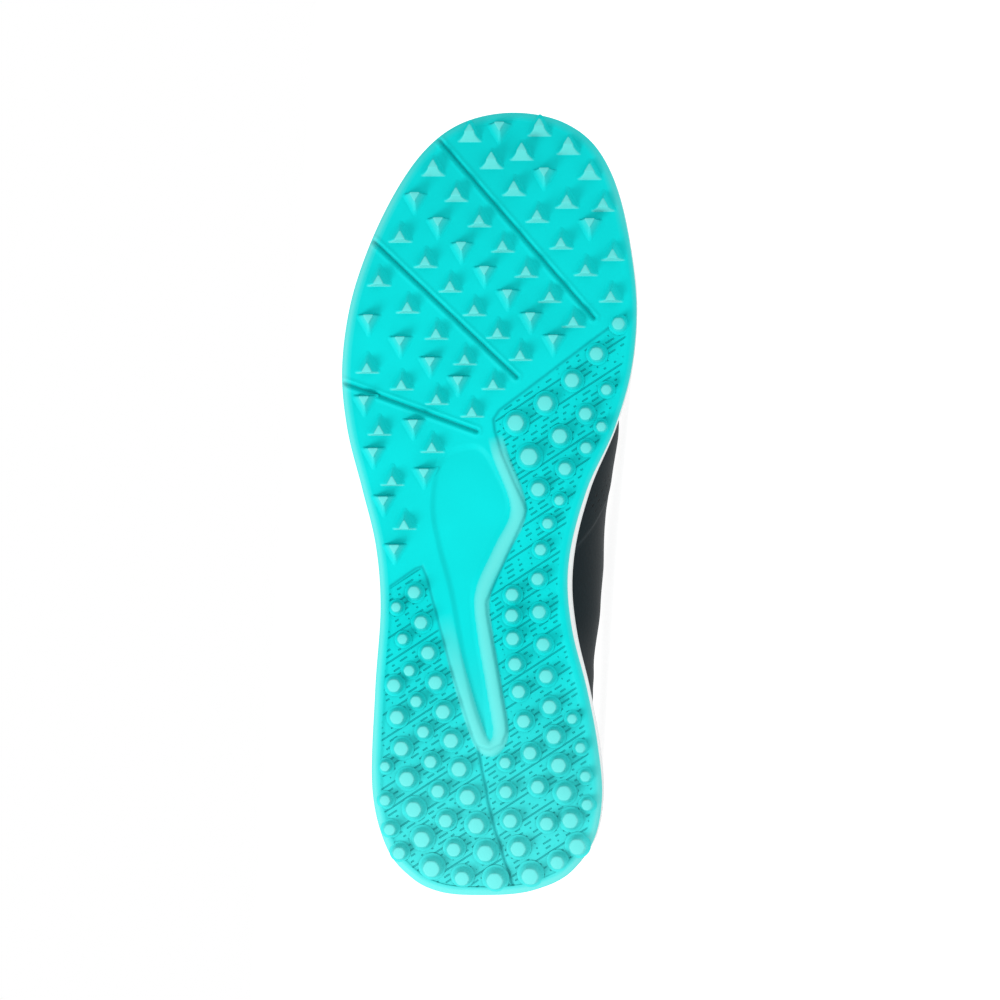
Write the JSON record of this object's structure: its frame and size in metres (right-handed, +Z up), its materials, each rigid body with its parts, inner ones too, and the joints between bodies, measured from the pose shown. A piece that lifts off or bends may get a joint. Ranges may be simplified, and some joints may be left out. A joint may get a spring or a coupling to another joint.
{
  "type": "turf shoe",
  "caption": "Low laced sports shoe for artificial turf, lying on its side, with a rubber outsole of short wedge lugs and round studs and a hollow upper.",
  "frame": {"origin": "centre of the bounding box's base: the shoe lies on its inner side on z = 0", "axes": "+X towards the toe, -Y the way the sole faces, +Z up from the floor, towards the shoe's outer side"},
  "size_m": [0.2984, 0.132, 0.1106],
  "materials": {
    "turquoise_rubber": "satin moulded rubber",
    "white_foam": "matt moulded foam",
    "dark_synthetic": "smooth coated synthetic, fine grain",
    "dark_overlay": "smooth coated synthetic, a little glossier",
    "dark_lining": "matt knitted lining",
    "dark_lace": "flat woven lace"
  },
  "bodies": {
    "root": {"outsole": "turquoise_rubber", "midsole": "white_foam", "insole": "dark_lining", "upper": "dark_synthetic", "tongue": "dark_lining", "toe_cap": "dark_overlay", "heel_counter": "dark_overlay", "eyestay": "dark_overlay", "laces": "dark_lace"}
  },
  "joints": []
}
